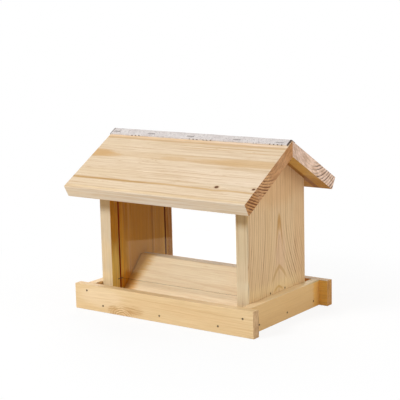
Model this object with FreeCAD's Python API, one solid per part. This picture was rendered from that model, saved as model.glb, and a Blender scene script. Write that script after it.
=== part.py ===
import FreeCAD, Part
import math
import os

from FreeCAD import Vector

# Timber: all sizes are in millimetres and all angles in degrees
board_thickness = 18.0
roof_board_thickness = 17.5
tray_board_thickness = 12.5
eased_edge = 1.0

# Tray: a floor board inside a frame of four upright boards
tray_height = 35.0
trough_width = 15.5
tray_end_overhang = 12.5

# House: two gable boards that stand on the floor
house_length = 240.0
gable_width = 137.0

# Roof: two boards mitred at the ridge, the rear one a little narrower
ridge_height = 235.0
roof_pitch = 30.0
roof_end_overhang = 25.0
front_roof_slope = 128.0
rear_roof_slope = 124.0

# Clear panes in grooves of the gables
pane_thickness = 2.0
pane_line = 51.5
pane_side_play = 0.5
pane_end_play = 0.5
pane_lift_play = 2.5
pane_seat_gap = 0.2
groove_depth = 5.0
seed_gap_height = 20.0

# Seed spreader: two sloping boards that meet over the middle of the floor
spreader_pitch = 47.6
spreader_foot = 47.4
spreader_flat = 12.6
spreader_end_gap = 0.25

# Ridge strip of roofing felt
felt_thickness = 1.6
felt_flank = 13.0

# Staples of flat wire
wire_width = 1.2
wire_thickness = 0.6
ridge_staple_crown = 11.0
ridge_staple_leg = 9.0
ridge_staple_count = 5
ridge_staple_inset = 12.0
ridge_staple_line = 7.0
ridge_staple_drift = (-3.0, -8.5, -9.5, -2.0, -3.0)
pane_staple_crown = 10.0
pane_staple_leg = 6.0

# Brads: headed pins of flat wire, set a little below the wood with the head along the grain
brad_head_length = 2.2
brad_head_height = 1.0
brad_wire_length = 1.3
brad_width = 1.4
brad_length = 30.0
brad_point_length = 2.0
brad_set_depth = 0.8

# Places of the brads
floor_brad_inset = 50.5
floor_brad_drift = (-2.5, -1.5, -3.0)
end_brad_height = 25.5
end_brad_drift = (1.5, 3.0)
end_brad_rise = 1.5
side_brad_inset = 17.5
side_brad_drift = 2.5
spreader_brad_offset = 17.5
roof_brad_inset = 22.0

# Countersunk screws up through the floor into the gables
screw_head_diameter = 7.0
screw_head_height = 2.4
screw_shank_diameter = 3.5
screw_length = 35.0
screw_point_length = 4.0
screw_set_depth = 0.3
screw_inset = 30.0

# Play around brads, screws and staple legs in their holes, and how far a cut runs past a face
hole_play = 0.05
cut_overrun = 2.0

# Sizes that follow from the ones above
floor_top = board_thickness
floor_half_depth = gable_width / 2 + trough_width
tray_half_depth = floor_half_depth + tray_board_thickness
house_half = house_length / 2
gable_inner = house_half - board_thickness
side_board_outer = house_half + tray_board_thickness
tray_half_length = side_board_outer + tray_end_overhang
roof_half_length = house_half + roof_end_overhang
roof_angle = math.radians(roof_pitch)
roof_underside_apex = ridge_height - roof_board_thickness / math.cos(roof_angle)
groove_width = pane_thickness + 2 * pane_side_play
pane_bottom = floor_top + seed_gap_height
pane_highest_line = pane_line + pane_thickness / 2
spreader_angle = math.radians(spreader_pitch)
spreader_apex = floor_top + spreader_foot * math.tan(spreader_angle)
spreader_rise = board_thickness / math.cos(spreader_angle)

FRONT, REAR = -1, 1
LEFT, RIGHT = -1, 1
ALONG_X = Vector(1, 0, 0)
ALONG_Y = Vector(0, 1, 0)
UP = Vector(0, 0, 1)

pieces = {}


def block(low, high):
    """A box between two corners."""
    size = high - low
    return Part.makeBox(size.x, size.y, size.z, low)


def filled(edges):
    """The flat face inside a closed row of edges."""
    return Part.Face(Part.Wire(edges))


def outline(points):
    """Straight edges round a list of points, closed at the end."""
    return [Part.LineSegment(a, b).toShape() for a, b in zip(points, points[1:] + points[:1])]


def prism(profile, x_start, x_end):
    """A profile of (y, z) points, pulled along X."""
    points = [Vector(x_start, y, z) for y, z in profile]
    return filled(outline(points)).extrude(ALONG_X * (x_end - x_start))


def eased(board, grain):
    """Rounds the planed edges along the grain, but not those sawn to a mitre over Y = 0."""
    planed = []
    for edge in board.Edges:
        start, end = (vertex.Point for vertex in edge.Vertexes)
        run = end - start
        along_grain = run.cross(grain).Length < hole_play
        at_mitre = abs(start.y) < hole_play and abs(end.y) < hole_play
        if along_grain and not at_mitre:
            planed.append(edge)
    return board.makeFillet(eased_edge, planed)


def placed(shape, seat, along, outward):
    """Carries a shape drawn at the origin, its length on X and its outside on +Z, to its seat."""
    turn = FreeCAD.Rotation(along, outward.cross(along), outward, "ZXY")
    moved = shape.copy()
    moved.Placement = FreeCAD.Placement(seat, turn)
    return moved


def slope_point(side, down, out=0.0):
    """A point of a roof slope, so far down from the ridge and so far out from the wood."""
    across = down * math.cos(roof_angle) + out * math.sin(roof_angle)
    height = ridge_height - down * math.sin(roof_angle) + out * math.cos(roof_angle)
    return side * across, height


def slope_normal(side):
    """The outward direction of a roof slope."""
    return Vector(0, side * math.sin(roof_angle), math.cos(roof_angle))


def underside_height(across):
    """The height of the roof's underside at a distance from the ridge line."""
    return roof_underside_apex - across * math.tan(roof_angle)


def turned(profile):
    """A body turned about Z from (radius, height) points that start and end on the axis."""
    points = [Vector(radius, 0, height) for radius, height in profile]
    return filled(outline(points)).revolve(Vector(), UP, 360)


def brad(play=0.0):
    """A brad set below the plane Z = 0, or with play the hole that it stands in."""
    head = brad_head_length / 2 + play
    wire = brad_wire_length / 2 + play
    half_width = brad_width / 2 + play
    top = cut_overrun if play else -brad_set_depth
    neck = -brad_set_depth - brad_head_height
    tip = -brad_set_depth - brad_length
    edge = tip + brad_point_length
    half = [(head, top), (head, neck), (wire, neck), (wire, edge)]
    profile = half + [(0, tip)] + [(-x, z) for x, z in reversed(half)]
    points = [Vector(x, -half_width, z) for x, z in profile]
    return filled(outline(points)).extrude(ALONG_Y * (2 * half_width))


def screw(play=0.0):
    """A countersunk screw set below the plane Z = 0, or with play its hole."""
    head = screw_head_diameter / 2 + play
    shank = screw_shank_diameter / 2 + play
    rim = -screw_set_depth
    neck = rim - screw_head_height
    tip = rim - screw_length
    body = [(head, rim), (shank, neck), (shank, tip + screw_point_length), (0, tip)]
    mouth = [(0, cut_overrun), (head, cut_overrun)] if play else [(0, rim)]
    return turned(mouth + body)


def staple(crown, leg, play=0.0):
    """A staple with its crown on the plane Z = 0, or with play the two slots for its legs."""
    half = crown / 2
    half_wire = wire_width / 2 + play
    legs = [
        block(
            Vector(end - wire_thickness / 2 - play, -half_wire, -leg - play),
            Vector(end + wire_thickness / 2 + play, half_wire, play),
        )
        for end in (wire_thickness / 2 - half, half - wire_thickness / 2)
    ]
    if play:
        return Part.makeCompound(legs)
    bridge = block(Vector(-half, -half_wire, 0), Vector(half, half_wire, wire_thickness))
    return bridge.fuse(legs).removeSplitter()


def ridge_staple(play=0.0):
    return staple(ridge_staple_crown, ridge_staple_leg, play)


def pane_staple(play=0.0):
    return staple(pane_staple_crown, pane_staple_leg, play)


def fasten(name, make, places, held):
    """Sets a fastener at each place and cuts its hole in every piece that it holds."""
    pieces[name] = Part.makeCompound([placed(make(), *place) for place in places])
    holes = Part.makeCompound([placed(make(hole_play), *place) for place in places])
    for board in held:
        pieces[board] = pieces[board].cut(holes)


def make_tray():
    """The floor board, and the frame round it that stands higher to hold the seed."""
    pieces["floor_board"] = eased(
        block(Vector(-house_half, -floor_half_depth, 0), Vector(house_half, floor_half_depth, floor_top)),
        ALONG_X,
    )
    for name, side in (("tray_front_board", FRONT), ("tray_rear_board", REAR)):
        near, far = sorted((side * floor_half_depth, side * tray_half_depth))
        board = block(Vector(-tray_half_length, near, 0), Vector(tray_half_length, far, tray_height))
        pieces[name] = eased(board, ALONG_X)
    for name, side in (("tray_left_board", LEFT), ("tray_right_board", RIGHT)):
        near, far = sorted((side * house_half, side * side_board_outer))
        board = block(Vector(near, -floor_half_depth, 0), Vector(far, floor_half_depth, tray_height))
        pieces[name] = eased(board, ALONG_Y)


def make_gables():
    """Upright gable boards, with a groove for each pane down the inner face."""
    half = gable_width / 2
    shoulder = underside_height(half)
    foot = [(-half, floor_top), (half, floor_top)]
    profile = foot + [(half, shoulder), (0, roof_underside_apex), (-half, shoulder)]
    groove_mouth = gable_inner - cut_overrun
    groove_bed = gable_inner + groove_depth
    for name, side in (("left_gable", LEFT), ("right_gable", RIGHT)):
        near, far = sorted((side * gable_inner, side * house_half))
        board = eased(prism(profile, near, far), UP)
        near, far = sorted((side * groove_mouth, side * groove_bed))
        for line in (FRONT * pane_line, REAR * pane_line):
            groove = block(
                Vector(near, line - groove_width / 2, floor_top - cut_overrun),
                Vector(far, line + groove_width / 2, ridge_height),
            )
            board = board.cut(groove)
        pieces[name] = board


def make_panes():
    """Clear panes that stand in the grooves and leave a gap for the seed over the floor."""
    half = gable_inner + groove_depth - pane_end_play
    top = underside_height(pane_highest_line) - pane_lift_play
    for name, side in (("front_pane", FRONT), ("rear_pane", REAR)):
        line = side * pane_line
        pieces[name] = block(
            Vector(-half, line - pane_thickness / 2, pane_bottom),
            Vector(half, line + pane_thickness / 2, top),
        )


def make_spreader():
    """Two boards sawn to lie on the floor, to meet over its middle and to share a flat top."""
    half = gable_inner - spreader_end_gap
    flat = spreader_flat / 2
    top = spreader_apex - flat * math.tan(spreader_angle)
    joint_bottom = spreader_apex - spreader_rise
    heel = (joint_bottom - floor_top) / math.tan(spreader_angle)
    profile = [(spreader_foot, floor_top), (flat, top), (0, top), (0, joint_bottom), (heel, floor_top)]
    for name, side in (("front_spreader_board", FRONT), ("rear_spreader_board", REAR)):
        pieces[name] = prism([(side * y, z) for y, z in profile], -half, half)


def make_roof():
    """Roof boards with square eaves and a plumb mitre at the ridge."""
    for name, side, slope in (
        ("front_roof_board", FRONT, front_roof_slope),
        ("rear_roof_board", REAR, rear_roof_slope),
    ):
        profile = [
            slope_point(side, 0),
            slope_point(side, slope),
            slope_point(side, slope, -roof_board_thickness),
            (0, roof_underside_apex),
        ]
        pieces[name] = eased(prism(profile, -roof_half_length, roof_half_length), ALONG_X)


def make_ridge_strip():
    """One strip of felt, folded over the ridge on a round of its own thickness."""
    corners = [
        slope_point(FRONT, 0, felt_thickness),
        slope_point(FRONT, felt_flank, felt_thickness),
        slope_point(FRONT, felt_flank),
        slope_point(FRONT, 0),
        slope_point(REAR, felt_flank),
        slope_point(REAR, felt_flank, felt_thickness),
        slope_point(REAR, 0, felt_thickness),
    ]
    points = [Vector(-roof_half_length, y, z) for y, z in corners]
    crest = Vector(-roof_half_length, 0, ridge_height + felt_thickness)
    straight = outline(points)[:-1]
    fold = Part.Arc(points[-1], crest, points[0]).toShape()
    pieces["ridge_strip"] = filled(straight + [fold]).extrude(ALONG_X * (2 * roof_half_length))


def pin_tray():
    """Brads through the tray boards into the floor's edges and the ends of the side boards."""
    height = floor_top / 2
    reach = tray_half_length - floor_brad_inset
    end_line = house_half + tray_board_thickness / 2
    floor_lines = [x + drift for x, drift in zip((-reach, 0, reach), floor_brad_drift)]
    end_spots = [
        (side * end_line + drift, end_brad_height - side * end_brad_rise)
        for side, drift in zip((LEFT, RIGHT), end_brad_drift)
    ]
    spots = [(x, height) for x in floor_lines] + end_spots
    for name, board, side in (
        ("tray_front_brads", "tray_front_board", FRONT),
        ("tray_rear_brads", "tray_rear_board", REAR),
    ):
        places = [
            (Vector(-side * x, side * tray_half_depth, z), ALONG_X, ALONG_Y * side) for x, z in spots
        ]
        fasten(name, brad, places, [board, "floor_board", "tray_left_board", "tray_right_board"])
    reach = floor_half_depth - side_brad_inset
    for name, board, side in (
        ("tray_left_brads", "tray_left_board", LEFT),
        ("tray_right_brads", "tray_right_board", RIGHT),
    ):
        places = [
            (Vector(side * side_board_outer, y + side_brad_drift, height), ALONG_Y, ALONG_X * side)
            for y in (-reach, 0, reach)
        ]
        fasten(name, brad, places, [board, "floor_board"])


def fasten_gables():
    """Screws from below, brads into the spreader's ends, and staples that the panes rest on."""
    middle = house_half - board_thickness / 2
    screw_line = gable_width / 2 - screw_inset
    staple_height = pane_bottom - pane_seat_gap - wire_width / 2
    board_centre = spreader_apex - spreader_brad_offset * math.tan(spreader_angle) - spreader_rise / 2
    for word, side in (("left", LEFT), ("right", RIGHT)):
        gable = word + "_gable"
        out = ALONG_X * side
        screws = [(Vector(side * middle, y, 0), ALONG_X, UP * -1) for y in (-screw_line, screw_line)]
        fasten(word + "_gable_screws", screw, screws, [gable, "floor_board"])
        brads = [
            (Vector(side * house_half, y, board_centre), UP, out)
            for y in (-spreader_brad_offset, spreader_brad_offset)
        ]
        held = [gable, "front_spreader_board", "rear_spreader_board"]
        fasten(word + "_spreader_brads", brad, brads, held)
        staples = [
            (Vector(side * gable_inner, y, staple_height), ALONG_Y, out * -1)
            for y in (-pane_line, pane_line)
        ]
        fasten(word + "_pane_staples", pane_staple, staples, [gable])


def fasten_roof():
    """Brads that hold the rear board down, and staples that hold the felt to both boards."""
    middle = house_half - board_thickness / 2
    lowest = gable_width / 2 / math.cos(roof_angle) - roof_brad_inset
    for word, side in (("left", LEFT), ("right", RIGHT)):
        brads = [
            (Vector(side * middle, *slope_point(REAR, down)), ALONG_X, slope_normal(REAR))
            for down in (roof_brad_inset, lowest)
        ]
        fasten(word + "_roof_brads", brad, brads, ["rear_roof_board", word + "_gable"])
    first = ridge_staple_inset - roof_half_length
    spacing = -2 * first / (ridge_staple_count - 1)
    lines = [
        first + spacing * i + ridge_staple_drift[i % len(ridge_staple_drift)]
        for i in range(ridge_staple_count)
    ]
    for word, side in (("front", FRONT), ("rear", REAR)):
        seat = slope_point(side, ridge_staple_line, felt_thickness)
        staples = [(Vector(-side * x, *seat), ALONG_X, slope_normal(side)) for x in lines]
        fasten(word + "_ridge_staples", ridge_staple, staples, ["ridge_strip", word + "_roof_board"])


def export_pieces():
    """Writes one file for each piece, or for each group of like fasteners."""
    os.makedirs("parts", exist_ok=True)
    for name, shape in pieces.items():
        solids = shape.Solids
        whole = solids[0] if len(solids) == 1 else Part.makeCompound(solids)
        whole.exportStep("parts/" + name + ".step")


make_tray()
make_gables()
make_panes()
make_spreader()
make_roof()
make_ridge_strip()
pin_tray()
fasten_gables()
fasten_roof()
export_pieces()
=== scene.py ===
import math
import random

import bmesh
import bpy
from mathutils import Matrix, Vector


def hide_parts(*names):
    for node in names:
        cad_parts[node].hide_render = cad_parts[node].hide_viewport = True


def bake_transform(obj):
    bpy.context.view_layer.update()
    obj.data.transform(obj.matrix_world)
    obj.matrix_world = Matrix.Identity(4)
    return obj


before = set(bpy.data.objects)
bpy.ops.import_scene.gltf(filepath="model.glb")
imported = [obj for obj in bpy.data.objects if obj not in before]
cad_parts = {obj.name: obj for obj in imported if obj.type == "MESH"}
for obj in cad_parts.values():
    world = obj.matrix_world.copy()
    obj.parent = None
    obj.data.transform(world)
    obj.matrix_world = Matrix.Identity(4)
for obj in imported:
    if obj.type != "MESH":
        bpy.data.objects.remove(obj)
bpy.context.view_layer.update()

# Sizes in millimetres that the boards' grain and the felt strip are laid out by
MILLIMETRES = 1000.0
RIDGE_HEIGHT = 235.0
ROOF_ANGLE = math.radians(30)
SLOPE = (math.cos(ROOF_ANGLE), math.sin(ROOF_ANGLE))
SPREADER_ANGLE = math.radians(47.6)
SPREADER_APEX = 69.9
FLOOR_TOP = 18.0
TRAY_TOP = 35.0
TRAY_FACE = 96.5
TRAY_SIDE_FACE = 132.5
GABLE_FACE = 120.0
GROOVE_LINE = 51.5
GROOVE_TOP = 176.0
SCREW_PLACE = (111.0, 38.5)
FELT_THICKNESS = 1.6
FELT_GAP = 0.02
FELT_GRIT, FELT_CORE = 0, 1
FELT_ENDS = (-145.0, 143.5)
FELT_FRONT_FLANK = (13.0, 10.4)
FELT_REAR_FLANK = (12.6, 9.6)
FELT_FOLD = 3.2
FELT_STEPS = 145
FELT_FLANK_STEPS = 9
FELT_BARE_EDGE = ((-109.0, -92.0), (-11.0, 27.0), (110.0, 142.0))

# Half the length of a patch that runs past both ends of the longest board
WHOLE = 420.0


def linear(red, green, blue):
    """A display colour of 0 to 255 as the linear colour that a shader takes."""
    channels = []
    for value in (red, green, blue):
        share = value / 255
        channels.append(share / 12.92 if share <= 0.04045 else ((share + 0.055) / 1.055) ** 2.4)
    return (*channels, 1.0)


WHITE = (1.0, 1.0, 1.0, 1.0)


# Node graph helper

class Graph:
    """Adds nodes to one node tree, with plain values or other nodes' sockets as their inputs."""

    def __init__(self, owner):
        owner.use_nodes = True
        self.tree = owner.node_tree
        self.tree.nodes.clear()

    def feed(self, socket, value):
        if isinstance(value, bpy.types.NodeSocket):
            self.tree.links.new(value, socket)
        else:
            socket.default_value = value

    def node(self, kind, inputs=None, **settings):
        made = self.tree.nodes.new(kind)
        for name, value in settings.items():
            setattr(made, name, value)
        for key, value in (inputs or {}).items():
            self.feed(made.inputs[key], value)
        return made

    def place(self):
        """Where a point lies in its object, in metres."""
        return self.node("ShaderNodeTexCoord").outputs["Object"]

    def math(self, operation, first, second=0.0):
        made = self.node("ShaderNodeMath", {0: first, 1: second}, operation=operation)
        return made.outputs[0]

    def add(self, first, second):
        return self.math("ADD", first, second)

    def minus(self, first, second):
        return self.math("SUBTRACT", first, second)

    def times(self, first, second):
        return self.math("MULTIPLY", first, second)

    def power(self, first, second):
        return self.math("POWER", first, second)

    def absolute(self, value):
        return self.math("ABSOLUTE", value)

    def highest(self, *values):
        top = values[0]
        for value in values[1:]:
            top = self.math("MAXIMUM", top, value)
        return top

    def length(self, first, second, norm=2.0):
        """The length of a vector with these two sides. A norm under 2 makes its circles pointed."""
        sides = [self.power(self.absolute(side), norm) for side in (first, second)]
        return self.power(self.add(*sides), 1 / norm)

    def ramp(self, value, start, end, low=0.0, high=1.0):
        """A smooth step from low to high while the value goes from start to end."""
        inputs = {"Value": value, 1: start, 2: end, 3: low, 4: high}
        made = self.node("ShaderNodeMapRange", inputs, interpolation_type="SMOOTHSTEP")
        return made.outputs[0]

    def vector(self, x, y, z):
        return self.node("ShaderNodeCombineXYZ", {0: x, 1: y, 2: z}).outputs[0]

    def split(self, vector):
        return self.node("ShaderNodeSeparateXYZ", {0: vector}).outputs

    def dot(self, first, second):
        inputs = {0: first, 1: second}
        made = self.node("ShaderNodeVectorMath", inputs, operation="DOT_PRODUCT")
        return made.outputs["Value"]

    def noise(self, vector, scale=1.0, detail=2.0, roughness=0.5):
        inputs = {"Vector": vector, "Scale": scale, "Detail": detail, "Roughness": roughness}
        return self.node("ShaderNodeTexNoise", inputs).outputs["Fac"]

    def cells(self, vector, scale):
        inputs = {"Vector": vector, "Scale": scale}
        return self.node("ShaderNodeTexVoronoi", inputs)

    def mix(self, share, first, second, blend="MIX"):
        """Two colours mixed. The inputs go by number, because several share a name."""
        made = self.node("ShaderNodeMix", data_type="RGBA", blend_type=blend)
        self.feed(made.inputs[0], share)
        self.feed(made.inputs[6], first)
        self.feed(made.inputs[7], second)
        return made.outputs[2]

    def bump(self, height, distance, strength=1.0):
        inputs = {"Height": height, "Distance": distance, "Strength": strength}
        return self.node("ShaderNodeBump", inputs).outputs[0]

    def mix_shader(self, share, first, second):
        made = self.node("ShaderNodeMixShader", {0: share, 1: first, 2: second})
        return made.outputs[0]

    def surface(self, shader):
        self.node("ShaderNodeOutputMaterial", {"Surface": shader})

    def principled(self, inputs):
        self.surface(self.node("ShaderNodeBsdfPrincipled", inputs).outputs[0])


def new_material(name):
    """A new material and the helper that fills its node tree."""
    material = bpy.data.materials.new(name)
    return material, Graph(material)


def brad_heads(node_names, board):
    """Where brads' heads lie on the board's face, as distances along and across it."""
    spots = []
    for node_name in node_names:
        mesh = bmesh.new()
        mesh.from_mesh(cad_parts[node_name].data)
        bmesh.ops.remove_doubles(mesh, verts=mesh.verts, dist=1e-6)
        for island in islands(mesh):
            points = [board_point(vertex.co, board) for vertex in island]
            top = max(point[2] for point in points)
            head = [point for point in points if point[2] > top - 0.2]
            if top > -3.0:
                spots.append([sum(point[axis] for point in head) / len(head) for axis in (0, 1)])
        mesh.free()
    return spots


def islands(mesh):
    """The vertices of each separate body in a mesh."""
    left = set(mesh.verts)
    found = []
    while left:
        edge = [left.pop()]
        island = []
        while edge:
            vertex = edge.pop()
            island.append(vertex)
            for link in vertex.link_edges:
                other = link.other_vert(vertex)
                if other in left:
                    left.remove(other)
                    edge.append(other)
        found.append(island)
    return found


def board_point(place, board):
    """A place as millimetres along, across and out of the board's face."""
    offset = place * MILLIMETRES - Vector(board["origin"])
    return [offset.dot(Vector(board[name])) for name in ("along", "across", "depth")]


def add_object(name, mesh, *materials):
    """Makes a finished mesh an object of the scene."""
    data = bpy.data.meshes.new(name)
    mesh.to_mesh(data)
    mesh.free()
    for material in materials:
        data.materials.append(material)
    made = bpy.data.objects.new(name, data)
    bpy.context.scene.collection.objects.link(made)
    return made


def dress(node_name, material):
    """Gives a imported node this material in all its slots."""
    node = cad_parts[node_name]
    node.data.materials.clear()
    node.data.materials.append(material)
    for polygon in node.data.polygons:
        polygon.material_index = 0


# Pine: growth rings round a heart line run through each board, so that its faces and ends agree

# The settings that are colours
TINTS = (
    "early", "late", "warm", "edge", "back", "back_low", "back_late", "end", "end_late",
    "knot_dark", "knot_light", "groove", "rear_groove",
)

# The settings of a plain board. Places and sizes are in millimetres along and across its face.
# A patch is its middle along and across, half length, half width, colour and share.
BOARD = {
    # The grain's direction, the way across it, the way out of the face, and a point of the face
    "along": (1, 0, 0),
    "across": (0, 0, 1),
    "depth": (0, -1, 0),
    "origin": (0, 0, 0),
    # The noises' seed, the grain's drift, and the heart line's place, lean, bend and roundness
    "seed": 1.0,
    "drift": 5.0,
    "heart": (0.0, 0.0),
    "heart_depth": (30.0, 0.0),
    "sweep": (0.0, 1.0, 0.0, 0.0),
    "norm": 2.0,
    # The rings' spacing, their faintest strength, the sharpness of late wood, and the contrast
    "spacing": 4.6,
    "faint": 0.3,
    "late_share": 3.2,
    "face_contrast": 0.5,
    "edge_contrast": 0.2,
    "end_contrast": 0.9,
    # Where rings are weak near the heart, stronger in patches, or quiet on a sawn end
    "core": (-2.0, -1.0, 1.0),
    "strong": (),
    "quiet": (-1000.0, -999.0, 1.0),
    # The face's colours, the narrow edges' colour where it differs, and the gloss
    "early": (224, 199, 160),
    "late": (190, 142, 88),
    "warm": (218, 184, 136),
    "edge": None,
    "gloss": 0.3,
    # How much shows of warm clouds, fibres, resin flecks, veins and hairlines
    "cloud": 0.6,
    "fibre": 0.05,
    "fleck": 0.4,
    "veins": 0.25,
    "hairlines": 0.4,
    # The back's colour at the start and the end of a span along the board, and its patches
    "back_low": (214, 180, 134),
    "back": (214, 180, 134),
    "back_late": (176, 126, 74),
    "back_span": (0.0, 1.0),
    "back_share": 0.0,
    "back_patches": (),
    # The sawn ends
    "end": (213, 175, 128),
    "end_late": (150, 98, 62),
    "end_patches": (),
    # Knots are their middle and radius
    "knots": (),
    "knot_dark": (78, 48, 27),
    "knot_light": (116, 76, 44),
    # Other figures: tinted patches, streaky ones, ovals over a hidden knot, and pointed arches
    "patches": (),
    "curls": (),
    "eyes": (),
    "arches": (),
    # The pane grooves' line, the painted shade inside them, and the nodes of brads in this board
    "groove_line": 0.0,
    "groove": (194, 74, 16),
    "rear_groove": (140, 52, 6),
    "brads": (),
}


def board_axes(graph, board):
    """How far along, across and out of the board's face a point lies, in millimetres."""
    place = graph.place()
    sockets = []
    for direction in (board["along"], board["across"], board["depth"]):
        offset = sum(d * o for d, o in zip(direction, board["origin"]))
        reach = graph.times(graph.dot(place, direction), MILLIMETRES)
        sockets.append(graph.minus(reach, offset))
    return sockets


def grain_noise(graph, axes, board, salt, along, across, **settings):
    """A noise that is drawn out along the grain. Each salt gives another pattern."""
    run, side, deep = axes
    place = graph.vector(
        graph.add(graph.times(run, along), board["seed"] + salt),
        graph.times(side, across),
        graph.times(deep, across),
    )
    return graph.noise(place, **settings)


def wander(graph, axes, board):
    """The grain's slow drift from a straight line."""
    run, side, deep = axes
    slow = grain_noise(graph, axes, board, 0, 0.006, 0.018, detail=3.0)
    drift = graph.times(graph.minus(slow, 0.5), board["drift"])
    quick = grain_noise(graph, axes, board, 7, 0.03, 0.12)
    fine = graph.times(graph.minus(quick, 0.5), board["drift"] * 0.16)
    moved = graph.add(side, graph.add(drift, fine))
    return run, moved, deep


def knot_distance(graph, axes, knot):
    """How far a point is from a knot's middle, counted shorter along the grain."""
    run, side, _ = axes
    along = graph.times(graph.minus(run, knot[0]), 0.8)
    return graph.length(along, graph.minus(side, knot[1]))


def flow_round(graph, axes, board):
    """The grain lines part and run round each knot."""
    run, side, deep = axes
    moved = side
    for knot in board["knots"]:
        _, level, radius = knot
        reach = radius * 1.25
        distance = graph.highest(knot_distance(graph, axes, knot), reach)
        share = graph.math("DIVIDE", reach * reach, graph.power(distance, 2.0))
        push = graph.times(graph.minus(side, level), share)
        moved = graph.minus(moved, push)
    return run, moved, deep


def ring_count(graph, axes, board):
    """How many rings out from the heart line a point is. The heart line may bend at one end."""
    run, side, deep = axes
    centre, lean = board["heart"]
    level, rise = board["heart_depth"]
    start, span, dive, skew = board["sweep"]
    below = graph.times(graph.minus(start, run), 1 / span)
    sweep = graph.times(graph.power(graph.highest(below, 0.0), 1.8), dive)
    heart_side = graph.add(graph.times(run, lean), centre)
    heart_side = graph.add(heart_side, graph.times(sweep, skew))
    heart_deep = graph.add(graph.add(graph.times(run, rise), level), sweep)
    sides = (graph.minus(side, heart_side), graph.minus(deep, heart_deep))
    return graph.times(graph.length(*sides, board["norm"]), 1 / board["spacing"])


def ring_lines(graph, axes, count, board):
    """Dark late wood at each ring's end, some rings strong and some hardly there."""
    number = graph.math("FLOOR", count)
    place = graph.add(number, board["seed"] * 3.7)
    chance = graph.node("ShaderNodeTexWhiteNoise", {"W": place}, noise_dimensions="1D")
    strength = graph.ramp(chance.outputs["Value"], 0.0, 1.0, low=board["faint"])
    fade = graph.ramp(grain_noise(graph, axes, board, 12, 0.02, 0.1), 0.3, 0.6, low=0.45)
    start, stop, share = board["core"]
    core = graph.ramp(count, start, stop, low=share)
    inner = graph.math("FRACT", count)
    rise = graph.power(inner, board["late_share"])
    end = graph.ramp(inner, 0.94, 1.0, 1.0, 0.0)
    line = graph.times(graph.times(rise, end), graph.times(strength, core))
    return graph.times(line, fade)


def hairlines(graph, axes, board):
    """Thin wavy lines that come and go along the grain."""
    level = grain_noise(graph, axes, board, 11, 0.007, 0.3, detail=2.0, roughness=0.55)
    turn = graph.math("FRACT", graph.times(level, 9.0))
    line = graph.ramp(graph.absolute(graph.minus(turn, 0.5)), 0.36, 0.48)
    gap = graph.ramp(grain_noise(graph, axes, board, 13, 0.022, 0.3), 0.42, 0.6, low=0.1)
    return graph.times(graph.times(line, gap), board["hairlines"])


def patch(graph, axes, wobble, spot):
    """A soft oval mask, full inside 0.6 of its half sizes and gone at 1.15 of them."""
    run, side, _ = axes
    centre, level, half_length, half_width = spot[:4]
    along = graph.times(graph.minus(run, centre), 1 / half_length)
    across = graph.times(graph.minus(side, level), 1 / half_width)
    distance = graph.add(graph.length(along, across), wobble)
    return graph.ramp(distance, 1.15, 0.6)


def with_patches(graph, colour, axes, wobble, spots, streaks=1.0):
    """Long patches of another tint, which may be streaky where the grain curls."""
    for spot in spots:
        tint, share = spot[4:]
        mask = graph.times(patch(graph, axes, wobble, spot), share)
        colour = graph.mix(graph.times(mask, streaks), colour, linear(*tint))
    return colour


def with_knots(graph, colour, axes, board):
    """Small dark knots with their own fine rings, in a halo of late wood."""
    for knot in board["knots"]:
        radius = knot[2]
        distance = graph.times(knot_distance(graph, axes, knot), 1 / radius)
        rings = graph.ramp(graph.math("SINE", graph.times(distance, 13.0)), -1.0, 1.0)
        tone = graph.mix(rings, board["knot_dark"], board["knot_light"])
        halo = graph.times(graph.ramp(distance, 2.0, 1.0), 0.45)
        colour = graph.mix(halo, colour, board["late"])
        colour = graph.mix(graph.ramp(distance, 1.1, 0.75), colour, tone)
    return colour


def facing(graph, direction):
    """How far a surface faces one way of the board, from -1 to 1."""
    normal = graph.node("ShaderNodeTexCoord").outputs["Normal"]
    return graph.dot(normal, direction)


def with_eyes(graph, colour, axes, board):
    """Grain that loops in thin ovals round a knot hidden under the surface."""
    run, side, _ = axes
    wobble = graph.times(grain_noise(graph, axes, board, 4, 0.12, 0.3, detail=3.0), 9.0)
    for centre, level, reach, spacing, squeeze, tint in board["eyes"]:
        along = graph.times(graph.minus(run, centre), squeeze)
        distance = graph.length(along, graph.minus(side, level))
        turn = graph.add(graph.times(distance, 6.28 / spacing), wobble)
        line = graph.ramp(graph.math("SINE", turn), -0.1, 0.9)
        fade = graph.ramp(distance, reach, reach * 0.3)
        mask = graph.times(graph.times(line, fade), 0.85)
        colour = graph.mix(mask, colour, linear(*tint))
    return colour


def with_arches(graph, colour, axes, board):
    """Single rings that cross the face as a pointed arch."""
    run, side, _ = axes
    for tip, centre, fall, width, reach, tint, share in board["arches"]:
        off = graph.absolute(graph.minus(side, centre))
        drop = graph.times(graph.power(off, 1.3), fall)
        line = graph.absolute(graph.add(graph.minus(run, tip), drop))
        line = graph.ramp(line, width, width * 0.3)
        mask = graph.times(line, graph.ramp(off, reach, reach * 0.5))
        colour = graph.mix(graph.times(mask, share), colour, linear(*tint))
    return colour


def with_marks(graph, colour, axes, board):
    """Bruised, stained wood round the heads of the brads, at the face only."""
    run, side, deep = axes
    near = graph.ramp(deep, -2.5, -2.0)
    for along, across in board["marks"]:
        distance = graph.length(graph.minus(run, along), graph.minus(side, across))
        mask = graph.times(graph.ramp(distance, 1.9, 0.9), near)
        colour = graph.mix(graph.times(mask, 0.8), colour, linear(70, 44, 26))
    return colour


def end_share(graph, board):
    """1 on the sawn ends and 0 elsewhere."""
    return graph.ramp(graph.absolute(facing(graph, board["along"])), 0.6, 0.9)


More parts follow.
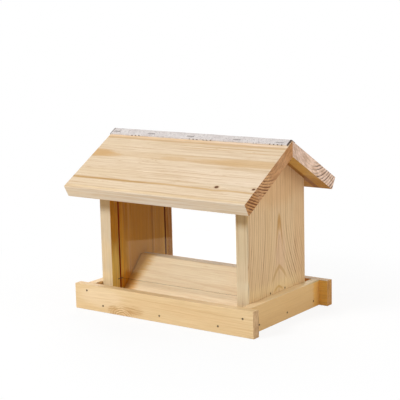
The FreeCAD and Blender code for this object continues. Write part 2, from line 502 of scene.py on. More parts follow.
def ring_contrast(graph, ends, axes, board):
    """Rings are clearest on the sawn ends, where a part may be quieter, and faint on edges."""
    start, stop, quiet = board["quiet"]
    on_end, on_face, on_edge = [board[key + "_contrast"] for key in ("end", "face", "edge")]
    loud = graph.ramp(axes[1], start, stop, on_end * quiet, on_end)
    edge = graph.ramp(graph.absolute(facing(graph, board["across"])), 0.6, 0.9)
    plain = graph.mix(edge, [on_face] * 3 + [1.0], [on_edge] * 3 + [1.0])
    return graph.mix(ends, plain, loud), edge


def strong_rings(graph, rings, axes, board):
    """Rings stand out more inside the patches that say so."""
    for spot in board["strong"]:
        more = graph.times(patch(graph, axes, 0.0, spot), spot[4])
        rings = graph.times(rings, graph.add(more, 1.0))
    return rings


def end_mottle(graph, axes, colour, board):
    """Sawn end grain: uneven, with soft streaks that follow the board's faces."""
    run, side, deep = axes
    place = graph.vector(side, deep, run)
    mottle = graph.noise(place, scale=0.32, detail=5.0, roughness=0.72)
    level = graph.add(graph.times(deep, 0.24), board["seed"])
    streak_place = graph.vector(graph.times(side, 0.06), level, 0.0)
    streak = graph.noise(streak_place, detail=3.0, roughness=0.55)
    uneven = graph.ramp(mottle, 0.32, 0.68, low=0.86, high=1.1)
    streaky = graph.ramp(streak, 0.34, 0.66, low=0.8, high=1.14)
    shade = graph.times(uneven, streaky)
    tint = graph.vector(graph.power(shade, 0.8), shade, graph.power(shade, 1.3))
    return graph.mix(1.0, colour, tint, "MULTIPLY")


def end_colour(graph, grain, board):
    """The sawn ends' colour, with their stains and rings."""
    axes = grain["axes"]
    colour = with_patches(graph, board["end"], axes, 0.0, board["end_patches"])
    colour = graph.mix(grain["rings"], colour, board["end_late"])
    return end_mottle(graph, axes, colour, board)


def back_colour(graph, rings, axes, wobble, board):
    """The colour of a board's back, which may change slowly from one end to the other."""
    start, end = board["back_span"]
    share = graph.ramp(axes[0], start, end)
    plain = graph.mix(share, board["back_low"], board["back"])
    plain = with_patches(graph, plain, axes, wobble, board["back_patches"])
    return graph.mix(rings, plain, board["back_late"])


def with_grooves(graph, colour, axes, board):
    """The pane grooves are painted darker than the wood round them, up to near the gable's sloping
    top: painted shade inside them, darker at the rear wall.
    """
    if not board["groove_line"]:
        return colour
    run, side, deep = axes
    off_line = graph.minus(graph.absolute(side), board["groove_line"])
    across = graph.ramp(graph.absolute(off_line), 1.75, 1.45)
    sunk = graph.ramp(deep, -11.0, -12.5)
    below_top = graph.ramp(run, GROOVE_TOP, GROOVE_TOP - 14.0)
    inside = graph.times(sunk, below_top)
    rear = graph.ramp(side, -1.0, 1.0)
    wall = graph.mix(rear, board["groove"], board["rear_groove"])
    return graph.mix(graph.times(across, inside), colour, wall)


def read_grain(graph, board):
    """What a board's colour and relief are worked out from: its axes, rings, fibres and sides."""
    axes = board_axes(graph, board)
    bent = flow_round(graph, wander(graph, axes, board), board)
    lines = ring_lines(graph, axes, ring_count(graph, bent, board), board)
    ends = end_share(graph, board)
    contrast, edge = ring_contrast(graph, ends, axes, board)
    unrest = grain_noise(graph, bent, board, 3, 0.035, 0.35)
    return {
        "axes": axes,
        "bent": bent,
        "lines": lines,
        "rings": strong_rings(graph, graph.times(lines, contrast), axes, board),
        "ends": ends,
        "edge": edge,
        "fibre": grain_noise(graph, bent, board, 0, 0.02, 0.75, detail=5.0, roughness=0.62),
        "hair": grain_noise(graph, bent, board, 1, 0.05, 3.1, detail=3.0, roughness=0.6),
        "wobble": graph.times(graph.minus(unrest, 0.5), 0.5),
    }


def face_colour(graph, grain, board):
    """Early and late wood, warm clouds, tinted patches and the colour of the board's back."""
    bent = grain["bent"]
    wobble = grain["wobble"]
    colour = graph.mix(grain["edge"], board["early"], board["edge"])
    colour = graph.mix(grain["rings"], colour, board["late"])
    cloud = graph.ramp(grain_noise(graph, grain["axes"], board, 2, 0.006, 0.035), 0.4, 0.72)
    colour = graph.mix(graph.times(cloud, board["cloud"]), colour, board["warm"])
    colour = with_patches(graph, colour, bent, wobble, board["patches"])
    streaks = graph.ramp(grain["fibre"], 0.44, 0.6)
    colour = with_patches(graph, colour, bent, wobble, board["curls"], streaks)
    back = graph.ramp(facing(graph, board["depth"]), -0.55, -0.85, 0.0, board["back_share"])
    back_tint = back_colour(graph, grain["rings"], grain["axes"], wobble, board)
    return graph.mix(back, colour, back_tint)


def with_fine_lines(graph, colour, grain, board):
    """Fibres, hairlines, veins and resin flecks."""
    bent = grain["bent"]
    late = board["late"]
    streak = graph.ramp(grain["fibre"], 0.35, 0.68, 1.0 - board["fibre"], 1.0 + board["fibre"])
    thread = graph.ramp(grain["hair"], 0.3, 0.7, low=0.965, high=1.03)
    shade = graph.times(streak, thread)
    tint = graph.vector(graph.power(shade, 0.75), shade, graph.power(shade, 1.45))
    colour = graph.mix(1.0, colour, tint, "MULTIPLY")
    off_edge = graph.ramp(grain["edge"], 0.0, 1.0, low=1.0, high=0.3)
    colour = graph.mix(graph.times(hairlines(graph, bent, board), off_edge), colour, late)
    vein = grain_noise(graph, bent, board, 9, 0.004, 0.42, detail=3.0, roughness=0.55)
    vein = graph.times(graph.ramp(vein, 0.53, 0.66), board["veins"])
    colour = graph.mix(vein, colour, late)
    fleck = graph.ramp(grain_noise(graph, bent, board, 5, 0.09, 1.9), 0.7, 0.78)
    return graph.mix(graph.times(fleck, board["fleck"]), colour, late)


def pine(node_name, name, **changes):
    """Dresses a board in pine, made from the settings in BOARD and this board's changes."""
    board = {**BOARD, **changes}
    board["edge"] = board["edge"] or board["early"]
    board.update({key: linear(*board[key]) for key in TINTS})
    board["marks"] = brad_heads(board["brads"], board)
    material, graph = new_material(name)
    grain = read_grain(graph, board)
    colour = with_fine_lines(graph, face_colour(graph, grain, board), grain, board)
    colour = graph.mix(grain["ends"], colour, end_colour(graph, grain, board))
    for with_figure in (with_grooves, with_arches, with_eyes, with_knots, with_marks):
        colour = with_figure(graph, colour, grain["axes"], board)
    relief = graph.add(graph.times(grain["rings"], -0.6), graph.times(grain["hair"], 0.5))
    relief = graph.add(relief, graph.times(grain["fibre"], 0.7))
    dull = graph.add(grain["fibre"], graph.times(grain["lines"], -0.3))
    graph.principled({
        "Base Color": colour,
        "Roughness": graph.ramp(dull, 0.2, 0.8, low=0.5, high=0.72),
        "Normal": graph.bump(relief, distance=0.00035, strength=0.55),
        "Specular IOR Level": board["gloss"],
    })
    dress(node_name, material)


# Painted shadow of the eave: the gables' front edges are painted browner just under it
PAINTED_EAVE_SHADOW = (154, -68.5, 22, 2.6, (198, 146, 54), 0.42)


def front_roof_board():
    """Straight fine grain, a warm band and two small dark knots."""
    tan = (205, 163, 112)
    band = (210, 172, 120)
    pale = (232, 216, 190)
    patches = (
        (0, 14.0, WHOLE, 2.0, (240, 206, 164), 0.8),
        (96, 13.6, 86, 2.6, (246, 222, 196), 0.75),
        (0, 17.8, WHOLE, 2.1, tan, 0.58),
        (-140, 52.0, 30, 9.5, (208, 166, 110), 0.85),
        (-120, 54.5, 26, 5.5, (208, 166, 110), 0.55),
        (-8, 53.5, 24, 5.0, band, 0.4),
        (112, 52.5, 72, 9.0, band, 0.62),
        (60, 54.5, 52, 6.0, band, 0.4),
        (0, 52, WHOLE, 7.5, band, 0.2),
        (20, 21.5, 95, 0.9, tan, 0.35),
        (70, 25.0, 66, 1.1, tan, 0.6),
        (34, 28.5, 56, 1.1, tan, 0.6),
        (116, 31.0, 36, 1.0, tan, 0.6),
        (-70, 36.0, 60, 0.9, tan, 0.3),
        (0, 114.0, WHOLE, 8.0, (238, 218, 190), 0.3),
        (0, 105.1, WHOLE, 1.8, (200, 158, 98), 0.65),
        (-90, 105.7, 100, 1.7, (184, 142, 78), 0.7),
        (96, 95.0, 42, 3.0, pale, 0.6),
        (0, 124.0, WHOLE, 1.6, (236, 208, 160), 0.5),
        (90, 82.0, 110, 16.0, (240, 220, 196), 0.5),
        (20, 79, 200, 1.0, (206, 172, 128), 0.35),
        (-40, 86, 150, 0.9, (206, 172, 128), 0.35),
    )
    pine(
        "front_roof_board",
        "pine_front_roof",
        across=(0, -SLOPE[0], -SLOPE[1]), depth=(0, -SLOPE[1], SLOPE[0]),
        origin=(0, 0, RIDGE_HEIGHT),
        seed=2.3,
        heart=(50.0, 0.0), heart_depth=(36.0, 0.0),
        norm=1.5,
        spacing=4.2,
        late_share=2.6, faint=0.6,
        fibre=0.07,
        edge_contrast=0.9,
        edge=(216, 200, 178),
        quiet=(50.0, 84.0, 0.22),
        strong=((0, 78, WHOLE, 20, 0.3), (0, 114, WHOLE, 10, 1.5)),
        veins=0.4, hairlines=0.65,
        early=(231, 210, 181), late=(194, 156, 110),
        warm=(223, 199, 163),
        end=(203, 150, 100), end_late=(120, 62, 0),
        end_contrast=2.0,
        end_patches=(
            (0, 10, 1000, 16, (198, 138, 78), 0.8),
            (0, 53, 1000, 9, (196, 142, 90), 0.7),
            (0, 79, 1000, 15, (227, 175, 119), 0.8),
            (0, 118, 1000, 18, (212, 153, 88), 0.8),
        ),
        brads=("left_roof_brads", "right_roof_brads"),
        knots=((87.6, 100.6, 2.5), (141.5, 98.5, 2.0)),
        knot_dark=(70, 32, 4), knot_light=(118, 68, 26),
        patches=patches,
    )


def rear_roof_board():
    """Plain grain above with one knot, and a brown underside with painted shade along the gables.
    """
    pine(
        "rear_roof_board",
        "pine_rear_roof",
        across=(0, SLOPE[0], -SLOPE[1]), depth=(0, SLOPE[1], SLOPE[0]),
        origin=(0, 0, RIDGE_HEIGHT),
        seed=5.1,
        gloss=0.1,
        heart=(50.0, 0.01), heart_depth=(35.0, 0.0),
        late_share=3.4, faint=0.5,
        quiet=(56.0, 84.0, 0.22),
        brads=("left_roof_brads", "right_roof_brads"),
        early=(226, 201, 168), late=(192, 146, 98),
        back=(212, 166, 87), back_low=(212, 166, 87),
        back_late=(158, 100, 44),
        back_share=1.0,
        end=(250, 216, 191), end_late=(62, 22, 12),
        end_contrast=1.8,
        end_patches=(
            (-145, 60, 100, 400, (222, 184, 152), 0.9),
            (145, 16, 100, 30, (234, 201, 178), 0.9),
        ),
        back_patches=(
            (0, 116, WHOLE, 40, (182, 124, 28), 0.9),
            # Painted shade along the underside where it meets the gables
            (122.5, 60, 5, 200, (134, 72, 18), 0.75),
            (-122.5, 60, 5, 200, (134, 72, 18), 0.75),
        ),
        knots=((-52.0, 71.0, 4.0),),
    )


def right_gable():
    """Upright grain, with a pointed arch of rings on the outer face."""
    pine(
        "right_gable",
        "pine_right_gable",
        along=(0, 0, 1),
        across=(0, 1, 0), depth=(1, 0, 0),
        origin=(GABLE_FACE, 0, 0),
        seed=3.4, drift=3.0,
        heart=(5.0, 0.0), heart_depth=(-30.0, 0.0),
        sweep=(130.0, 95.0, 27.0, 0.3),
        norm=1.15,
        core=(5.5, 5.9, 0.06),
        strong=((52, 50, 56, 28, 1.3), (38, 0, 20, 200, 0.8)),
        spacing=4.8,
        late_share=4.2, faint=0.35,
        face_contrast=1.2,
        edge_contrast=0.1,
        hairlines=0.3,
        edge=(210, 188, 153),
        brads=("right_spreader_brads",),
        early=(233, 200, 153), late=(140, 70, 0),
        warm=(222, 186, 136),
        arches=(
            (134, 5.5, 2.6, 11.0, 10, (196, 146, 78), 0.7),
            (69, 4.5, 0.42, 4.2, 22, (196, 150, 86), 0.6),
            (43, 2.0, 0.24, 2.4, 13, (204, 158, 76), 0.6),
        ),
        back=(222, 166, 92), back_low=(226, 178, 104),
        back_late=(180, 118, 54),
        back_share=0.8,
        groove_line=GROOVE_LINE,
        patches=(
            (126, 5.5, 12, 4.2, (202, 152, 82), 0.7),
            (90, 8, 34, 13, (226, 186, 150), 0.45),
            (185, 4, 40, 75, (220, 170, 116), 0.5),
            # Painted light: the outer face lighter near the foot, where light from the floor falls
            (28, 0, 28, 200, (244, 214, 158), 0.6),
            (120, 60, 130, 20, (222, 180, 130), 0.5),
            # Painted shade: the front edge darker in its upper part, below the painted eave shadow;
            # painted light: lighter near its foot
            (118, -68.5, 36, 2.6, (203, 182, 146), 0.85),
            (46, -68.5, 18, 2.6, (218, 200, 167), 0.8),
            PAINTED_EAVE_SHADOW,
        ),
    )


def left_gable():
    """Upright grain, with an inner face painted gold low down and brown towards the top and rear:
    painted bounce light and painted shade.
    """
    pine(
        "left_gable",
        "pine_left_gable",
        along=(0, 0, 1),
        across=(0, 1, 0), depth=(-1, 0, 0),
        origin=(-GABLE_FACE, 0, 0),
        seed=8.2,
        gloss=0.12,
        heart=(25.0, 0.03), heart_depth=(-34.0, 0.0),
        spacing=6.5,
        face_contrast=0.45,
        early=(228, 200, 158), late=(196, 154, 104),
        # Painted light and shade on the inner face: gold low down and at the front, where light
        # from the tray and floor falls, brown towards the top and rear, where the roof shades it
        back=(194, 126, 20), back_low=(255, 215, 112),
        back_late=(160, 98, 42),
        back_span=(30.0, 122.0),
        back_share=1.0,
        back_patches=(
            (75, 8, 150, 52, (206, 149, 62), 0.9),
            (100, 36, 100, 9, (196, 141, 60), 0.85),
            (20, -61, 62, 11, (255, 216, 114), 0.95),
            (112, -61, 24, 11, (208, 140, 32), 0.9),
            (80, 34, 130, 12, (200, 144, 52), 0.5),
            (66, -45, 86, 6, (240, 178, 50), 0.5),
            (30, -36, 17, 18, (212, 138, 18), 0.85),
            (90, 22, 120, 2.0, (150, 92, 34), 0.6),
            (96, -30, 60, 5, (226, 170, 88), 0.5),
            (75, 72, 130, 22, (148, 86, 4), 1.0),
        ),
        groove_line=GROOVE_LINE,
        edge_contrast=0.1,
        edge=(214, 198, 168),
        veins=0.45,
        brads=("left_spreader_brads",),
        patches=(
            # Painted light near the foot of the outer face; painted shade on the front edge's upper
            # part, below the painted eave shadow
            (28, 0, 26, 200, (240, 214, 166), 0.6),
            (124, -68.5, 40, 2.6, (204, 184, 154), 0.85),
            PAINTED_EAVE_SHADOW,
        ),
    )


def tray_front_board():
    """Quiet straight grain, with a hidden knot's curls near the left end."""
    curl = (178, 126, 62)
    pine(
        "tray_front_board",
        "pine_tray_front",
        origin=(0, -TRAY_FACE, 0),
        seed=4.6, drift=4.0,
        heart=(12.0, 0.02), heart_depth=(-40.0, 0.02),
        spacing=5.5,
        face_contrast=0.18,
        fibre=0.07,
        early=(227, 197, 150), late=(202, 157, 102),
        warm=(223, 188, 138),
        veins=0.3,
        knots=((-63.0, -5.0, 5.0),),
        hairlines=0.2,
        eyes=((-64.0, -3.0, 22.0, 2.9, 0.75, curl),),
        patches=(
            (-100, 20, 42, 14, (238, 212, 174), 0.55),
            (95, 24, 60, 0.7, (190, 146, 94), 0.35),
        ),
        curls=(
            (-80, 5, 9, 7, curl, 0.8),
            (-44, 8, 18, 7, curl, 0.7),
        ),
        brads=("tray_front_brads",),
    )


def tray_rear_board():
    """Plain grain, with painted shade on the inner face at the right end and in its corner, and on
    the narrow edges.
    """
    pine(
        "tray_rear_board",
        "pine_tray_rear",
        depth=(0, 1, 0),
        origin=(0, TRAY_FACE, 0),
        seed=9.6,
        heart=(20.0, -0.03), heart_depth=(-30.0, 0.0),
        # Painted shade: the inner face's right end is a warm golden brown, as it looks in shade
        back=(249, 190, 92), back_low=(230, 188, 126),
        back_late=(204, 138, 62),
        back_span=(104.0, 120.0),
        back_share=1.0,
        # Painted shade: darker towards the right end and in the corner by the right side board
        back_patches=(
            (142, 18, 14, 400, (236, 183, 86), 0.9),
            (112, 30, 8, 14, (190, 120, 50), 0.7),
        ),
        # Painted shade: the narrow edges dark, as the top edge looks in shade
        edge=(150, 118, 74),
        end=(198, 142, 69),
        brads=("tray_rear_brads",),
    )


def tray_side_boards():
    """Very quiet grain, painted light along the tops with painted shade near their ends, and
    painted golden shade at the right board's rear end.
    """
    top = TRAY_TOP + 0.2
    # Painted shade: the right board's rear end, in the rear board's shadow, golden brown
    painted_shade_rear_end = (82, 17, 15, 60, (230, 172, 80), 0.8)
    # Painted shade: the tops darker again near their ends, against the painted light of their edge
    # colour
    painted_shade_tops = (
        (-78, top, 44, 1.4, (234, 203, 157), 0.95),
        (90, top, 42, 1.4, (209, 183, 132), 0.95),
        (92, top, 22, 1.4, (183, 156, 103), 0.9),
    )
    for name, side, seed, early, patches in (
        ("tray_right_board", 1, 6.2, (232, 192, 132), (painted_shade_rear_end, *painted_shade_tops)),
        ("tray_left_board", -1, 7.7, (231, 194, 140), painted_shade_tops),
    ):
        pine(
            name,
            "pine_" + name,
            along=(0, 1, 0),
            depth=(side, 0, 0),
            origin=(side * TRAY_SIDE_FACE, 0, 0),
            seed=seed,
            heart=(24.0, 0.01), heart_depth=(24.0, 0.0),
            face_contrast=0.1,
            veins=0.1,
            fibre=0.03,
            cloud=0.3,
            early=early, late=(198, 150, 90),
            warm=(214, 166, 104),
            patches=patches,
            hairlines=0.08,
            # Painted light: the tops lighter than the faces, where the gable shades them
            edge=(255, 234, 190),
            brads=(name.replace("board", "brads"),),
        )


def floor_board():
    """Plain grain with two knots."""
    pine(
        "floor_board",
        "pine_floor",
        across=(0, 1, 0), depth=(0, 0, 1),
        origin=(0, 0, FLOOR_TOP),
        seed=1.7,
        heart=(10.0, 0.02), heart_depth=(-40.0, 0.03),
        spacing=5.8,
        knots=((-40.0, -30.0, 5.0), (70.0, 38.0, 3.4)),
    )


def spreader_boards():
    """Fine grain, painted shade along the flat top, and a painted shadow of the left gable at the
    front board's left end, with a dark line of painted shade at the joint.
    """
    slope = (math.cos(SPREADER_ANGLE), math.sin(SPREADER_ANGLE))
    # Painted shade along the flat top, which the roof shades
    painted_ridge_shade = (0, 7.2, 400, 3.6, (187, 165, 134), 0.9)
    # Painted shadow of the left gable on the front board's left end, and a dark line of painted
    # shade at the joint with it
    painted_end_shadow = (
        painted_ridge_shade,
        (-108, 14, 33, 56, (221, 173, 80), 0.85),
        (-108, 66, 27, 34, (214, 154, 60), 0.78),
        (-102.4, 18, 2.6, 36, (154, 100, 54), 0.55),
    )
    for name, side, seed, patches in (
        ("front_spreader_board", -1, 3.9, painted_end_shadow),
        ("rear_spreader_board", 1, 6.9, (painted_ridge_shade,)),
    ):
        pine(
            name,
            "pine_" + name,
            across=(0, side * slope[0], -slope[1]), depth=(0, side * slope[1], slope[0]),
            origin=(0, 0, SPREADER_APEX),
            seed=seed, drift=3.0,
            heart=(30.0, 0.03), heart_depth=(-46.0, 0.01),
            spacing=2.8,
            fibre=0.07,
            veins=0.18, hairlines=0.45,
            early=(247, 229, 196), late=(213, 175, 128),
            warm=(241, 217, 178),
            patches=patches,
        )


# Clear sheet, metal and felt

def acrylic():
    """Clear acrylic: the wood behind shows in full, under a faint sheen with wipe marks in it,
    tinted warm as a painted reflection of the wooden tray.
    """
    material, graph = new_material("acrylic_clear")
    place = graph.place()
    smear = graph.noise(place, scale=38.0, detail=4.0, roughness=0.6)
    scuff = graph.noise(place, scale=900.0)
    wiped = graph.add(smear, graph.times(scuff, 0.2))
    roughness = graph.ramp(wiped, 0.45, 0.85, low=0.0, high=0.02)
    normal = graph.bump(smear, distance=0.00002, strength=0.2)
    slant = graph.node("ShaderNodeLayerWeight", {"Blend": 0.5, "Normal": normal}).outputs["Facing"]
    sawn = graph.ramp(graph.absolute(facing(graph, (0, 1, 0))), 0.9, 0.6)
    path = graph.node("ShaderNodeLightPath")
    light = graph.highest(path.outputs["Is Shadow Ray"], path.outputs["Is Diffuse Ray"])
    clear = graph.mix(light, WHITE, (0.9, 0.905, 0.905, 1.0))
    tint = graph.mix(sawn, clear, (0.55, 0.52, 0.46, 1.0))
    through = graph.node("ShaderNodeBsdfTransparent", {"Color": tint})
    shines = []
    # The first sheen's warm tint is a painted reflection of the wooden tray
    for colour in ((0.026, 0.0225, 0.0155, 1.0), WHITE):
        inputs = {"Color": colour, "Roughness": roughness, "Normal": normal}
        shines.append(graph.node("ShaderNodeBsdfGlossy", inputs).outputs[0])
    sheet = graph.node("ShaderNodeAddShader", {0: through.outputs[0], 1: shines[0]})
    share = graph.power(slant, 5.0)
    graph.surface(graph.mix_shader(share, sheet.outputs[0], shines[1]))
    for name in ("front_pane", "rear_pane"):
        dress(name, material)


def metal(name, colour, stain, roughness, metallic, gloss=0.5):
    """Drawn wire with a rubbed, slightly stained surface."""
    material, graph = new_material(name)
    place = graph.place()
    blotch = graph.noise(place, scale=700.0, detail=3.0, roughness=0.6)
    grit = graph.noise(place, scale=4200.0)
    stained = graph.ramp(blotch, 0.4, 0.66)
    graph.principled({
        "Base Color": graph.mix(stained, linear(*colour), linear(*stain)),
        "Roughness": graph.ramp(blotch, 0.3, 0.7, low=roughness - 0.08, high=roughness + 0.12),
        "Normal": graph.bump(grit, distance=0.00004, strength=0.5),
        "Metallic": metallic,
        "Specular IOR Level": gloss,
    })
    return material


def screw_steel():
    """Zinc-plated screws, with the driver recess in each head as a bump and a dark cross of painted
    shade.
    """
    material, graph = new_material("screw_steel")
    place = graph.place()
    parts = graph.split(place)
    offsets = []
    for axis, middle in enumerate(SCREW_PLACE):
        out = graph.times(graph.absolute(parts[axis]), MILLIMETRES)
        offsets.append(graph.absolute(graph.minus(out, middle)))
    arm = graph.math("MINIMUM", *offsets)
    reach = graph.highest(*offsets)
    # The driver recess: a dark cross of painted shade, with a bump
    cross = graph.times(graph.ramp(arm, 0.62, 0.48), graph.ramp(reach, 2.15, 1.9))
    blotch = graph.noise(place, scale=900.0, detail=3.0, roughness=0.6)
    plated = graph.mix(graph.ramp(blotch, 0.4, 0.7), linear(176, 170, 152), linear(150, 142, 120))
    graph.principled({
        "Base Color": graph.mix(cross, plated, linear(30, 28, 26)),
        "Roughness": graph.ramp(blotch, 0.3, 0.7, low=0.28, high=0.46),
        "Normal": graph.bump(graph.times(cross, -1.0), distance=0.0006, strength=0.8),
        "Metallic": 0.9,
    })
    return material


def fasteners():
    """Dark brads, stained pane staples, bright ridge staples and plated screws."""
    # Each kind: name, colour, stain, roughness, share of metal and gloss
    kinds = {
        "_brads": metal("brad_steel", (44, 26, 15), (28, 16, 9), 0.7, 0.0, 0.12),
        "_ridge_staples": metal("staple_steel", (176, 168, 166), (144, 136, 134), 0.5, 0.3),
        "_pane_staples": metal("pane_staple_steel", (146, 112, 82), (112, 80, 56), 0.6, 0.1, 0.3),
        "_screws": screw_steel(),
    }
    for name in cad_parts:
        for ending, material in kinds.items():
            if name.endswith(ending):
                dress(name, material)


def felt_grit():
    """Pale mineral grit, with darker grains and the bitumen showing here and there."""
    material, graph = new_material("felt_grit")
    place = graph.place()
    grains = graph.cells(place, 1500.0)
    chance = graph.node("ShaderNodeTexWhiteNoise", {"Vector": grains.outputs["Position"]})
    cloud = graph.noise(place, scale=60.0, detail=4.0, roughness=0.6)
    colour = graph.mix(graph.ramp(cloud, 0.35, 0.65), linear(229, 223, 220), linear(219, 211, 208))
    dark = graph.times(graph.ramp(chance.outputs["Value"], 0.86, 0.93), 0.6)
    colour = graph.mix(dark, colour, linear(126, 118, 118))
    bare = graph.ramp(graph.noise(place, scale=420.0, detail=3.0, roughness=0.6), 0.66, 0.74)
    colour = graph.mix(graph.times(bare, 0.3), colour, linear(116, 106, 104))
    along = graph.split(place)[0]
    middle = sum(FELT_ENDS) / 2
    half = (FELT_ENDS[1] - FELT_ENDS[0]) / 2
    inset = graph.absolute(graph.minus(graph.times(along, MILLIMETRES), middle))
    cut = graph.ramp(graph.add(inset, cloud), half - 1.1, half - 0.3)
    colour = graph.mix(cut, colour, linear(76, 58, 50))
    graph.principled({
        "Base Color": colour,
        "Roughness": graph.ramp(chance.outputs["Value"], 0.0, 1.0, low=0.82, high=0.98),
        "Normal": graph.bump(grains.outputs["Distance"], distance=0.00035, strength=0.9),
        "Specular IOR Level": 0.2,
    })
    return material


def felt_core():
    """The dark bitumen and mat at the strip's cut edges and underneath."""
    material, graph = new_material("felt_core")
    place = graph.place()
    mat = graph.noise(place, scale=1300.0, detail=4.0, roughness=0.65)
    dark = linear(82, 66, 57)
    graph.principled({
        "Base Color": graph.mix(graph.ramp(mat, 0.35, 0.7), dark, linear(118, 100, 90)),
        "Roughness": graph.ramp(mat, 0.3, 0.7, low=0.6, high=0.85),
        "Normal": graph.bump(mat, distance=0.0003, strength=0.8),
    })
    return material


# The felt strip: one piece of mesh, folded over the ridge, with torn edges and a slight ripple

def felt_profile():
    """The strip's line from the front edge over the ridge to the rear, as shares of each flank."""
    shares = [step / FELT_FLANK_STEPS for step in range(FELT_FLANK_STEPS, 0, -1)]
    front = [(-1, share) for share in shares]
    rear = [(1, share) for share in reversed(shares)]
    return front + [(0, 0.0)] + rear


def felt_point(x, side, distance, out):
    """A point of the strip, so far down from the ridge line and so far out from the wood."""
    if side == 0:
        return Vector((x, 0.0, RIDGE_HEIGHT + out)) / MILLIMETRES
    fold = max(0.0, 1.0 - distance / FELT_FOLD)
    lean = ROOF_ANGLE * (1 - fold * fold)
    y = side * (distance * SLOPE[0] + out * math.sin(lean))
    z = RIDGE_HEIGHT - distance * SLOPE[1] + out * math.cos(lean)
    return Vector((x, y, z)) / MILLIMETRES


def felt_rows(dice):
    """Each place along the strip, with its two flanks' lengths and its ripple there."""
    rows = []
    tear = [0.0, 0.0]
    for index in range(FELT_STEPS + 1):
        share = index / FELT_STEPS
        tear = [0.6 * value + dice.uniform(-0.3, 0.3) for value in tear]
        flanks = []
        for (first, last), stray in zip((FELT_FRONT_FLANK, FELT_REAR_FLANK), tear):
            flanks.append(first + (last - first) * share + min(0.0, stray - 0.25))
        ripple = 0.05 + 0.05 * math.sin(index * 0.21) + dice.uniform(0.0, 0.05)
        rows.append((FELT_ENDS[0] + (FELT_ENDS[1] - FELT_ENDS[0]) * share, flanks, ripple))
    return rows


def bare_edge(x):
    """Where the front edge has lost its grit: short dots within a few stretches."""
    worn = any(start < x < end for start, end in FELT_BARE_EDGE)
    return worn and math.sin(x * 1.1) > 0.55


def felt_rings(mesh, profile):
    """The strip's points: at each place along it, a ring over the outside and back underneath."""
    dice = random.Random(11)
    rings = []
    for x, flanks, ripple in felt_rows(dice):
        outer = []
        inner = []
        for side, share in profile:
            reach = share * (flanks[0] if side < 0 else flanks[1])
            out = FELT_THICKNESS - ripple - dice.uniform(0.0, 0.05)
            outer.append(mesh.verts.new(felt_point(x, side, reach, out)))
            inner.append(mesh.verts.new(felt_point(x, side, reach, FELT_GAP)))
        rings.append(outer + inner[::-1])
    return rings


def felt_faces(mesh, rings, half):
    """Grit outside, and the core underneath, at the rear edge and where the front edge is worn."""
    count = len(rings[0])
    for first, second in zip(rings, rings[1:]):
        for index in range(count):
            after = (index + 1) % count
            face = mesh.faces.new((first[index], first[after], second[after], second[index]))
            front_edge = index == count - 1
            bare = front_edge and bare_edge(first[index].co.x * MILLIMETRES)
            face.material_index = FELT_CORE if bare or half <= index < count - 1 else FELT_GRIT
    for ring, turn in ((rings[0], -1), (rings[-1], 1)):
        for index in range(half - 1):
            corners = (ring[index], ring[index + 1], ring[-2 - index], ring[-1 - index])
            face = mesh.faces.new(corners[::turn])
            face.material_index = FELT_CORE


def felt_strip():
    """The hinge: it takes the place of the plain strip, folded over the ridge."""
    profile = felt_profile()
    mesh = bmesh.new()
    felt_faces(mesh, felt_rings(mesh, profile), len(profile))
    bmesh.ops.recalc_face_normals(mesh, faces=mesh.faces)
    strip = add_object("felt_strip", mesh, felt_grit(), felt_core())
    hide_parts("ridge_strip")
    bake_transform(strip)


# Studio: white floor and surround, three soft lamps, a card for reflections and the camera

CAMERA_PLACE = (0.96176, -1.32214, 0.44505)
CAMERA_YAW = math.radians(36.08)
CAMERA_PITCH = math.radians(10.34)
CAMERA_ROLL = math.radians(-1.41)
CAMERA_LENS = 111.52


def seen_rays(graph):
    """1 for what the camera sees, straight or through gloss and clear sheet, and 0 for lighting."""
    path = graph.node("ShaderNodeLightPath")
    return graph.highest(
        path.outputs["Is Camera Ray"],
        path.outputs["Is Glossy Ray"],
        path.outputs["Is Transmission Ray"],
    )


def flat_sheet(name, segments, size, material):
    """A level square of mesh for the studio."""
    mesh = bmesh.new()
    bmesh.ops.create_grid(mesh, x_segments=segments, y_segments=segments, size=size)
    return add_object(name, mesh, material)


def floor_stage():
    """A pale floor that takes the object's shadow and fades to white away from it."""
    material, graph = new_material("studio_floor")
    parts = graph.split(graph.place())
    distance = graph.length(parts[0], parts[1])
    far = graph.ramp(distance, 0.15, 0.5, low=0.86, high=1.0)
    seen = seen_rays(graph)
    tone = graph.mix(seen, (0.8, 0.8, 0.8, 1.0), (0.98, 0.98, 0.98, 1.0))
    matt = graph.node("ShaderNodeBsdfDiffuse", {"Color": tone})
    white = graph.node("ShaderNodeEmission", {"Color": WHITE, "Strength": 1.0})
    share = graph.times(far, seen)
    graph.surface(graph.mix_shader(share, matt.outputs[0], white.outputs[0]))
    floor = flat_sheet("studio_floor", 24, 30.0, material)
    floor.location.z = -0.0002


def surround():
    """Even light from all round, white to the camera, in gloss and through clear sheet."""
    world = bpy.data.worlds.new("studio_surround")
    bpy.context.scene.world = world
    graph = Graph(world)
    seen = seen_rays(graph)
    even = graph.node("ShaderNodeBackground", {"Color": (1.0, 0.99, 0.98, 1.0), "Strength": 0.4})
    white = graph.node("ShaderNodeBackground", {"Color": WHITE, "Strength": 1.0})
    mixed = graph.mix_shader(seen, even.outputs[0], white.outputs[0])
    graph.node("ShaderNodeOutputWorld", {"Surface": mixed})


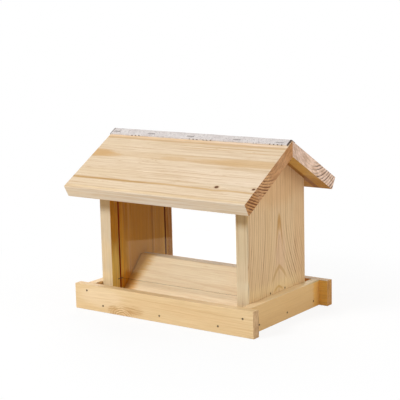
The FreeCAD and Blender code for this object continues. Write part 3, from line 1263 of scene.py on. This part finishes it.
def soft_lamp(name, place, width, height, power):
    """A rectangular lamp that shines on the object's middle."""
    data = bpy.data.lights.new(name, "AREA")
    data.shape = "RECTANGLE"
    data.size = width
    data.size_y = height
    data.energy = power
    lamp = bpy.data.objects.new(name, data)
    bpy.context.scene.collection.objects.link(lamp)
    lamp.location = place
    direction = Vector((0.0, 0.0, 0.1)) - Vector(place)
    lamp.rotation_euler = direction.to_track_quat("-Z", "Y").to_euler()


def lamps():
    """The main lamp in front at the left, a wide weak one at the right and one behind."""
    soft_lamp("key_lamp", (-0.68, -1.80, 1.30), width=0.62, height=0.5, power=32.4)
    soft_lamp("fill_lamp", (1.9, 0.75, 1.25), width=2.2, height=1.8, power=16.2)
    soft_lamp("rear_lamp", (-1.2, 2.0, 1.3), width=1.6, height=1.4, power=27.0)


def reflection_card():
    """A dark card in front that only gloss shows, where the photograph's white table ends."""
    material, graph = new_material("reflection_card")
    path = graph.node("ShaderNodeLightPath")
    mirrored = graph.math("GREATER_THAN", path.outputs["Glossy Depth"], 0.5)
    dark = graph.node("ShaderNodeEmission", {"Color": (0.02, 0.02, 0.02, 1.0)})
    clear = graph.node("ShaderNodeBsdfTransparent")
    graph.surface(graph.mix_shader(mirrored, clear.outputs[0], dark.outputs[0]))
    card = flat_sheet("reflection_card", 4, 0.5, material)
    card.location = (-0.331, -0.411, 0.4)
    card.rotation_euler = (math.radians(90), 0.0, math.atan2(-0.789, 0.615))
    card.scale = (1.3, 0.8, 1.0)
    card.visible_camera = False
    card.visible_diffuse = False
    card.visible_shadow = False


def camera():
    """The photograph's viewpoint."""
    data = bpy.data.cameras.new("camera")
    data.sensor_width = 36.0
    data.lens = CAMERA_LENS
    data.clip_end = 100.0
    view = bpy.data.objects.new("camera", data)
    turned = Matrix.Rotation(CAMERA_YAW, 4, "Z")
    tilted = Matrix.Rotation(math.radians(90) - CAMERA_PITCH, 4, "X")
    rolled = Matrix.Rotation(CAMERA_ROLL, 4, "Z")
    view.matrix_world = Matrix.Translation(CAMERA_PLACE) @ turned @ tilted @ rolled
    bpy.context.scene.collection.objects.link(view)
    bpy.context.scene.camera = view


front_roof_board()
rear_roof_board()
right_gable()
left_gable()
tray_front_board()
tray_rear_board()
tray_side_boards()
floor_board()
spreader_boards()
acrylic()
fasteners()
felt_strip()
floor_stage()
surround()
lamps()
reflection_card()
camera()
bpy.context.scene.view_settings.view_transform = "Standard"
